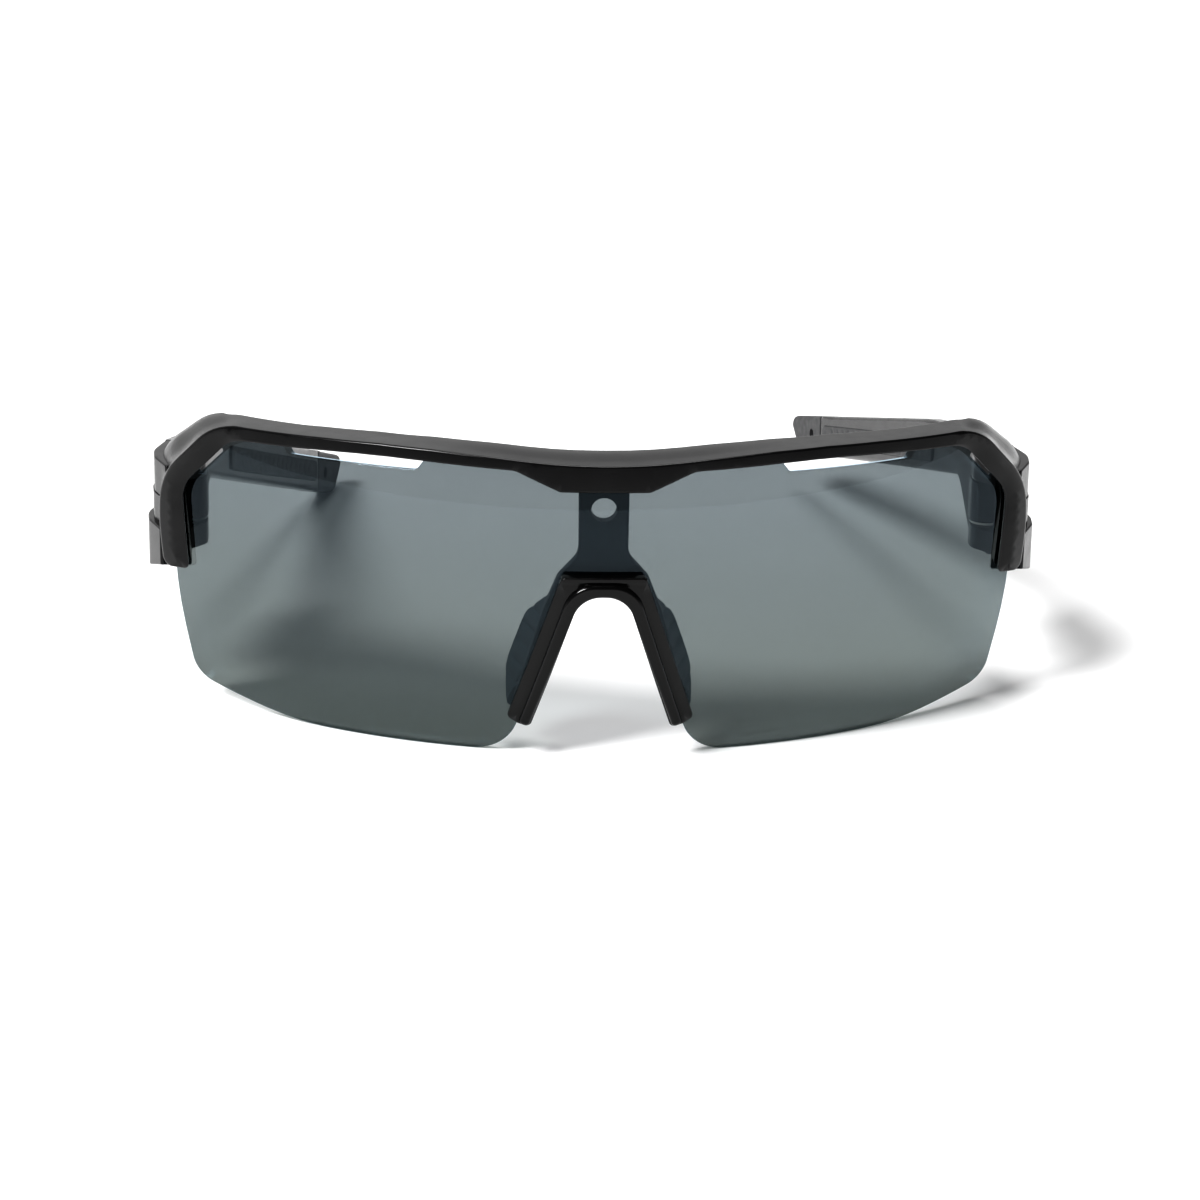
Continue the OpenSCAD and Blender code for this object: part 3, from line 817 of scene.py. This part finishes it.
def build_front_frame():
    """Brow, arms and endpieces, with the groove for the lens and the slot for the carrier's post."""
    outline = rounded(both_halves(FRAME_HALF))
    bevel = (inner_bevel, lambda x, z: inner_bevel(x, z) * 0.8)
    piece = solid("front_frame_moulding", plate(
        outline, shell(FRAME_OUTER), frame_back, edge=0.32, spacing=1, chamfer=bevel,
        flare=brow_flare))
    for mirror in (False, True):
        for shape in endpiece_shapes():
            combine(piece, solid("tool", shape, mirror), "UNION")
    groove = plate(rounded(both_halves(GROOVE_HALF)), shell(LENS_RADIUS + GROOVE_GAP),
                   shell(LENS_INNER - GROOVE_GAP), edge=0.12)
    combine(piece, solid("tool", groove), "DIFFERENCE")
    slot = rounded([(-3.9, 40, 0), (3.9, 40, 0), (3.9, 45.45, 0), (-3.9, 45.45, 0)])
    cut = plate(slot, shell(LENS_INNER), shell(LENS_INNER - 5), edge=0.1)
    combine(piece, solid("tool", cut), "DIFFERENCE")
    for mirror in (False, True):
        for shape in endpiece_cuts():
            combine(piece, solid("tool", shape, mirror), "DIFFERENCE")
    finished(piece, [nylon], "front", ["front_frame"])


def build_lens():
    """The shield, with its vent notches and the cut-out over the nose."""
    shape = plate(rounded(both_halves(LENS_HALF)), lens_surface(LENS_RADIUS), lens_surface(LENS_INNER),
                  edge=0.25, spacing=1.3)
    piece = solid("smoke_shield", shape)
    finished(piece, [smoke, smoke_edge], "front", ["shield_lens"], sharp=60)


# ---- Nose piece ----
def clip_face(x, z):
    """Front of the clip's plate: it rises to a raised edge along the top."""
    raised = 0.55 * smooth_step(z - 28.9)
    return shell(CLIP_OUTER + raised)(x, z)


def clip_bevel(x, z):
    """Width of the bevel on the outside of the clip's legs."""
    return 1.0 * smooth_step((np.abs(x) - nose_x(z) - 2.2) / 0.8) * smooth_step((29.5 - z) / 1.5)


def build_nose_clip():
    """Plate in front of the lens, a rim round the nose gap, and a lip through the lens's cut-out."""
    plate_half = [(6.35, 30.3, 0.7), (leg_x(6.3), 6.3, 0.9), (nose_x(5) - 0.1, 5, 0.9), arch(0)]
    rim_half = [(arch(2)[0], arch(2)[1], 5), (nose_x(5.9) + 2, 5.9, 0.7),
                (nose_x(5.3) + 0.2, 5.3, 0.7), arch(0)]
    lip_half = [(notch_x(NOTCH_TOP) - 0.35, NOTCH_TOP - 0.3, 4.1), (notch_x(6.4) - 0.35, 6.4, 0.4),
                (nose_x(5.8), 5.8, 0.4), arch(0)]
    bevel = (clip_bevel, lambda x, z: clip_bevel(x, z) * 0.75)
    piece = solid("nose_clip_moulding", plate(
        rounded(both_halves(plate_half)), clip_face, shell(LENS_RADIUS + 0.04), edge=0.25,
        spacing=0.6, chamfer=bevel))
    rim = plate(rounded(both_halves(rim_half)), shell(RIM_OUTER), shell(90.5), edge=0.66, spacing=0.5,
                steps=6)
    combine(piece, solid("tool", rim), "UNION")
    lip = plate(rounded(both_halves(lip_half)), shell(90.3), shell(LENS_INNER - 0.03), edge=0.1,
                spacing=0.6)
    combine(piece, solid("tool", lip), "UNION")
    finished(piece, [clip_gloss], "front", ["nose_bridge_clip"])


def build_carrier():
    """Yoke behind the lens, with a post up to the brow that has an oval hole."""
    half = [
        (3.85, 45.4, 0), (3.75, 32.8, 3), (6.9, 29.3, 2), (leg_x(24) + 0.5, 24, 6),
        (leg_x(9) - 0.3, 9, 1.2), (leg_x(7.6) - 0.9, 7.6, 1.2), (nose_x(7.4) + 0.1, 7.4, 0.8), arch(0.05),
    ]
    shape = plate(rounded(both_halves(half)), shell(LENS_INNER - 0.05), shell(FRAME_INNER), edge=0.3,
                  spacing=0.8)
    piece = solid("nose_carrier_moulding", shape)
    hole = plate(circle(0, 39.7, 1.95, 1.8), shell(92), shell(80), edge=0.05, spacing=1)
    combine(piece, solid("tool", hole), "DIFFERENCE")
    finished(piece, [carrier_nylon], "front", ["nose_carrier"])


PAD_HALF_THICKNESS = 1.3
PAD_DEPTH = 8.5
PAD_CHANNEL_PITCH, PAD_CHANNEL_WIDTH, PAD_CHANNEL_DEPTH = 2.9, 0.42, 0.38
PAD_X, PAD_Y, PAD_Z = 9.5, 5.4, 15.4
PAD_PLACE = (
    Matrix.Translation((PAD_X, PAD_Y, PAD_Z))
    @ Matrix.Rotation(-LEG_ANGLE, 4, "Y")
    @ Matrix.Rotation(math.radians(-20), 4, "Z")
)


def pad_face(side):
    """One face of a nose pad, crowned and crossed by channels, over its own y and z."""

    def surface(y, z):
        crown = 0.25 * (((y - 2) / 7) ** 2 + (z / 10) ** 2)
        channels = sum(
            np.exp(-(((z - k * PAD_CHANNEL_PITCH) / PAD_CHANNEL_WIDTH) ** 2)) for k in range(-2, 3))
        fade = smooth_step((y + 3) / 2) * smooth_step((PAD_DEPTH - 1.0 - y) / 1.5)
        carved = PAD_CHANNEL_DEPTH * channels * fade
        x = side * (PAD_HALF_THICKNESS - np.clip(crown, 0, 0.5) - carved)
        local = np.stack([x, y, z, np.ones_like(x)], -1)
        return (local @ np.array(PAD_PLACE).T)[:, :3]

    return surface


def build_pad(name, mirror):
    """A soft ribbed pad, cropped to the space behind the carrier."""
    outline = rounded([
        (-5, 9.5, 0), (2.5, 9.8, 4), (PAD_DEPTH - 0.5, 4.5, 4), (PAD_DEPTH, -5, 4.5), (3, -10, 4),
        (-5, -9.6, 0),
    ])
    shape = plate(outline, pad_face(1), pad_face(-1), edge=0.75, spacing=0.4, steps=5)
    piece = solid(name + "_soft", shape, mirror)

    def far_back(x, z):
        return np.stack([x, np.full(len(x), 60.0), z], -1)

    room = plate(circle(PAD_X, PAD_Z, 22, points=64), shell(FRAME_INNER - 0.05), far_back, edge=0.1,
                 spacing=0.8)
    combine(piece, solid("tool", room, mirror), "INTERSECT")
    finished(piece, [pad_rubber], "front", [name], sharp=50)


# ---- Temples ----
def arm_top(rest):
    """Height of an arm's top just behind the hinge block."""
    return 30.3 + 0.39 * rest


def arm_foot(rest):
    """Height of an arm's underside just behind the hinge block."""
    return 27.3 + 0.1 * rest


def temple_middle(y, rest):
    """Height of a temple's middle at distance y, for a tip resting at height rest."""
    share = (y - ARM_START) / (TIP_MIDDLE_Y - ARM_START)
    return (1 - share) * (31 + 0.12 * rest) + share * (rest + 4.8)


def temple_ends(rest):
    """Top and bottom of the temple where the soft cap starts."""
    top = np.interp(CAP_START, [ARM_TOP_Y, TIP_TOP_Y], [arm_top(rest), rest + TIP_HEIGHT])
    bottom = np.interp(CAP_START, [ARM_START, TIP_FOOT_Y], [arm_foot(rest), rest])
    return top, bottom


def crown(rest):
    """The outer face falls away a little above and below its middle, behind the hinge block."""
    start, full, depth = 60, 74, 0.35

    def relief(y, z):
        half = np.interp(y, [start, 90, CAP_START], [6, 4.2, 3.4])
        away = np.clip((z - temple_middle(y, rest)) / half, -1, 1)
        return depth * away**2 * smooth_step((y - start) / (full - start))

    return relief


def shoulder_cut():
    """Sets the outside above the groove back from the hinge on; it fades out along the temple."""
    fade_y = 86

    def cut_face(y, z):
        x = np.interp(y, [40, 47, fade_y], [71.1, SPLIT_X - SHOULDER, temple_x(0, fade_y)])
        return np.stack([x, y, z], -1)

    def outside(y, z):
        return np.stack([np.full(len(y), 90.0), y, z], -1)

    outline = rounded([(40, 32.2, 0), (62, 32, 20), (fade_y, 29.2, 0), (fade_y, 60, 0), (40, 60, 0)])
    return plate(outline, outside, cut_face, edge=0.25)


def groove_outline(rest, gap, start):
    """Side outline of the outer groove from start on, made smaller by gap for the strip inside it."""
    end = temple_middle(GROOVE_END, rest)
    return rounded([
        (start, GROOVE_LOW + gap, 0.3), (start, GROOVE_HIGH - gap, 0.3),
        (62, GROOVE_HIGH - 0.2 - gap, 12), (GROOVE_END - gap, end + 2.1 - gap, 0.4),
        (GROOVE_END - 0.5 - gap, end + 0.8 + gap, 0.4), (66, arm_foot(rest) + 1.5 + gap, 10),
    ])


def grip_outline(rest, grow):
    """Side outline of the soft grip on the inner face, made larger by grow for its seat."""
    start, end = temple_middle(GRIP_START, rest), temple_middle(GRIP_END, rest)
    return rounded([
        (GRIP_START - grow, start + 2.2 + grow, 1.2), (GRIP_END + grow, end + 2 + grow, 1.2),
        (GRIP_END + grow, end - 2 - grow, 1.2), (GRIP_START - grow, start - 2.2 - grow, 1.2),
    ])


def build_temple(side):
    """The arm with its hinge knuckle, shoulder, outer groove and the seat of the grip."""
    rest, mirror = TIP_REST[side], side == "right"
    start_y = SPLIT_Y + SPLIT_GAP / 2
    top, bottom = temple_ends(rest)
    outline = rounded([
        (start_y, ENDPIECE_TOP, 0), (58, 36.8, 30), (ARM_TOP_Y, arm_top(rest), 60), (CAP_START, top, 0),
        (CAP_START, bottom, 0), (ARM_START, arm_foot(rest), 3.5), (58.5, ENDPIECE_BOTTOM + 0.2, 3),
        (start_y, ENDPIECE_BOTTOM, 0),
    ])

    def edge(y, z):
        return np.interp(y, [50, 66, CAP_START - 6, CAP_START - 0.5], [0.3, 1.0, 1.0, 0.4])

    piece = solid(side + "_temple_arm", plate(
        outline, temple_surface(0, crown(rest)), temple_surface(TEMPLE_THICKNESS), edge=edge,
        spacing=1.3, steps=5), mirror)
    wall = SPLIT_X - TEMPLE_THICKNESS + 0.2
    combine(piece, solid("tool", knuckle(KNUCKLE_LOW, KNUCKLE_HIGH, 8, wall), mirror), "UNION")
    groove = plate(groove_outline(rest, 0, 40), temple_surface(-5), temple_surface(GROOVE_DEPTH),
                   edge=0.15)
    seat = plate(grip_outline(rest, SEAT_GAP), temple_surface(TEMPLE_THICKNESS - 1 - SEAT_GAP),
                 temple_surface(10), edge=0.1)
    cuts = [
        shoulder_cut(), groove, seat,
        pivot_cut(PIN_RADIUS + 0.05, 20, 40),
        pivot_cut(KNUCKLE_RADIUS + SWING_GAP, 10, KNUCKLE_LOW),
        pivot_cut(KNUCKLE_RADIUS + SWING_GAP, KNUCKLE_HIGH, 50),
    ]
    for cut in cuts:
        combine(piece, solid("tool", cut, mirror), "DIFFERENCE")
    finished(piece, [nylon], side + "_arm", [side + "_temple"])


def build_inlay(side):
    """The glossy strip in the outer groove."""
    shape = plate(groove_outline(TIP_REST[side], 0.15, 52), temple_surface(0.25),
                  temple_surface(GROOVE_DEPTH - SEAT_GAP), edge=0.14)
    piece = solid(side + "_inlay_strip", shape, side == "right")
    finished(piece, [inlay_gloss], side + "_arm", [side + "_temple_inlay"])


def build_grip(side):
    """The soft grip on the inner face, which stands a little proud of it."""
    rest = TIP_REST[side]

    def chevrons(y, z):
        """Shallow V-shaped channels across the grip, fading out at its ends."""
        depth, pitch, slant, margin = 0.12, 3.2, 0.9, 3
        across = np.abs(z - temple_middle(y, rest))
        wave = np.cos(2 * math.pi * (y - slant * across) / pitch)
        ends = smooth_step((y - GRIP_START - margin) / 2) * smooth_step((GRIP_END - margin - y) / 2)
        return -depth * smooth_step((wave - 0.45) / 0.5) * ends * smooth_step((1.8 - across) / 0.4)

    shape = plate(grip_outline(rest, 0), temple_surface(TEMPLE_THICKNESS - 1),
                  temple_surface(TEMPLE_THICKNESS + 0.3, chevrons), edge=0.28, spacing=0.42)
    piece = solid(side + "_grip_inlay", shape, side == "right")
    finished(piece, [grip_rubber], side + "_arm", [side + "_temple_grip"], sharp=50)


def build_cap(side):
    """The soft end of a temple, with a hole for a retainer cord."""
    rest, mirror = TIP_REST[side], side == "right"
    top, bottom = temple_ends(rest)
    start = CAP_START + SEAT_GAP
    outline = rounded([
        (start, top, 0), (TIP_TOP_Y, rest + TIP_HEIGHT, 1.8), (TIP_Y, rest + 4.4, 1.2),
        (TIP_Y - 4.5, rest, 2), (TIP_FOOT_Y, rest, 5), (start, bottom, 0),
    ])

    def edge(y, z):
        return np.interp(y, [CAP_START + 0.5, CAP_START + 5], [0.4, 1.1])

    piece = solid(side + "_cap_soft", plate(
        outline, temple_surface(0, crown(rest)), temple_surface(TEMPLE_THICKNESS), edge=edge,
        spacing=0.7, steps=6), mirror)
    hole = circle(CORD_HOLE_Y, temple_middle(CORD_HOLE_Y, rest), CORD_HOLE_RADIUS)
    cut = plate(hole, temple_surface(-3), temple_surface(TEMPLE_THICKNESS + 3), edge=0.02)
    combine(piece, solid("tool", cut, mirror), "DIFFERENCE")
    finished(piece, [grip_rubber], side + "_arm", [side + "_tip_cap"], sharp=45)


# ---- Hinge hardware ----
def joined(*shapes):
    """Several shapes as one."""
    points, faces, parts = [], [], []
    for some_points, some_faces, some_parts in shapes:
        first = len(points)
        points += list(some_points)
        faces += [tuple(first + i for i in face) for face in some_faces]
        parts += some_parts
    return np.array(points), faces, parts


def screw_profile():
    """Half section of a hinge screw, from the foot of its shank to the top of its head."""
    foot, head, rim = LUG_BOTTOM + 0.3, SCREW_HEAD_FOOT, SCREW_HEAD_RADIUS
    return [
        (0, foot), (0.7, foot), (PIN_RADIUS, foot + 0.2), (PIN_RADIUS, head), (rim - 0.1, head),
        (rim, head + 0.1), (rim, head + 0.75), (rim - 0.1, head + 0.9), (1.2, head + 0.98),
        (0, head + 1),
    ]


def insert_profile():
    """Section of a threaded insert's wall, with its thread left out."""
    bore, foot, top = PIN_RADIUS + 0.01, LUG_BOTTOM, LUG_BOTTOM + INSERT_LENGTH
    return [
        (bore, foot), (INSERT_RADIUS - INSERT_BEVEL, foot), (INSERT_RADIUS, foot + INSERT_BEVEL),
        (INSERT_RADIUS, top - INSERT_BEVEL), (INSERT_RADIUS - INSERT_BEVEL, top), (bore, top),
    ]


def washer(low):
    """A washer whose underside is at height low."""
    bore, outside, bevel, high = 0.95, 2.5, 0.08, low + WASHER_THICKNESS
    return lathe([
        (bore, low), (outside - bevel, low), (outside, low + bevel), (outside, high - bevel),
        (outside - bevel, high), (bore, high),
    ], closed=True)


def build_hinge(side):
    """Screw with a slotted head, insert and the pair of washers of one hinge."""
    mirror = side == "right"
    screw = solid(side + "_screw_turned", lathe(screw_profile()), mirror)
    slot = rounded([(-2.5, -0.25, 0), (2.5, -0.25, 0), (2.5, 0.25, 0), (-2.5, 0.25, 0)])
    slot = slot + np.array([PIVOT_X, PIVOT_Y])
    cut = plate(slot, level_surface(SCREW_HEAD_FOOT + 2), level_surface(SCREW_HEAD_FOOT + 0.5), edge=0.05)
    combine(screw, solid("tool", cut, mirror), "DIFFERENCE")
    finished(screw, [steel], "front", [side + "_hinge_screw"])
    insert = solid(side + "_insert_turned", lathe(insert_profile(), closed=True), mirror)
    finished(insert, [brass], "front", [side + "_hinge_insert"])
    pair = joined(washer(KNUCKLE_LOW - LUG_GAP), washer(KNUCKLE_HIGH + LUG_GAP - WASHER_THICKNESS))
    washers = solid(side + "_washers_pair", pair, mirror)
    finished(washers, [washer_nylon], "front", [side + "_hinge_washers"])


build_front_frame()
build_lens()
build_nose_clip()
build_carrier()
build_pad("left_nose_pad", False)
build_pad("right_nose_pad", True)
for side in ("left", "right"):
    build_temple(side)
    build_inlay(side)
    build_grip(side)
    build_cap(side)
    build_hinge(side)


# ---- Setting ----
def build_floor():
    """A wide sheet of white paper at the height of the resting surface."""
    mesh = bpy.data.meshes.new("floor")
    reach = 6.0
    corners = [(-reach, -reach, 0), (reach, -reach, 0), (reach, reach, 0), (-reach, reach, 0)]
    mesh.from_pydata(corners, [], [(0, 1, 2, 3)])
    mesh.materials.append(floor_paper("floor_paper"))
    placed("floor", mesh)


def build_camera():
    """A long lens half a metre away, a little above the brow and slightly turned and tilted."""
    turn, height, tilt = math.radians(-2.8), math.radians(17.5), math.radians(1.09)
    distance = 0.5
    back = Vector((
        math.sin(turn) * math.cos(height), -math.cos(turn) * math.cos(height), math.sin(height)))
    right = (-back).cross(Vector((0, 0, 1))).normalized()
    up = right.cross(-back)
    side = math.cos(tilt) * right + math.sin(tilt) * up
    top = -math.sin(tilt) * right + math.cos(tilt) * up
    target = Vector((0.47 * MM, FRONT_Y + 20 * MM, 19.98 * MM))
    data = bpy.data.cameras.new("camera")
    data.sensor_width = 36
    data.lens = 94.9
    data.clip_start, data.clip_end = 0.01, 20
    camera = placed("camera", data)
    place = Matrix((side, top, back)).transposed().to_4x4()
    place.translation = target + back * distance
    camera.matrix_world = place
    bpy.context.scene.camera = camera


def lamp(name, azimuth, elevation, strength, softness):
    """A distant soft light from a direction: azimuth 0 is behind the viewer and 90 is on the right."""
    data = bpy.data.lights.new(name, "SUN")
    data.energy = strength
    data.angle = math.radians(softness)
    made = placed(name, data)
    a, e = math.radians(azimuth), math.radians(elevation)
    towards = Vector((math.sin(a) * math.cos(e), -math.cos(a) * math.cos(e), math.sin(e)))
    made.rotation_mode = "QUATERNION"
    made.rotation_quaternion = towards.to_track_quat("Z", "Y")


def build_light():
    """A white room, brightest behind the object on the viewer's left and all round near the
    horizon, and two soft lamps."""
    world = bpy.data.worlds.new("studio")
    world.use_nodes = True
    tree = world.node_tree
    background = tree.nodes["Background"]
    background.inputs["Color"].default_value = (1, 1, 1, 1)
    place = tree.nodes.new("ShaderNodeTexCoord").outputs["Generated"]

    def fade(source, low, high, from_low, from_high):
        return map_range(tree, source, low, high, from_low, from_high, "SMOOTHSTEP")

    towards = tree.nodes.new("ShaderNodeVectorMath")
    towards.operation = "DOT_PRODUCT"
    towards.inputs[1].default_value = Vector((-0.35, 0.85, 0.35)).normalized()
    tree.links.new(place, towards.inputs[0])
    height = tree.nodes.new("ShaderNodeSeparateXYZ")
    tree.links.new(place, height.inputs[0])
    brighter = tree.nodes.new("ShaderNodeMath")
    brighter.operation = "MAXIMUM"
    tree.links.new(fade(towards.outputs["Value"], 0.05, 0.7, 0.5, 0.98), brighter.inputs[0])
    tree.links.new(fade(height.outputs["Z"], 0.7, 0.05, 0.02, 0.35), brighter.inputs[1])
    tree.links.new(brighter.outputs[0], background.inputs["Strength"])
    bpy.context.scene.world = world
    lamp("key", azimuth=-50, elevation=47, strength=3.1, softness=20)
    lamp("top", azimuth=180, elevation=76, strength=0.95, softness=22)
    bpy.context.scene.view_settings.view_transform = "Standard"
    bpy.context.scene.view_settings.look = "High Contrast"


build_floor()
build_camera()
build_light()
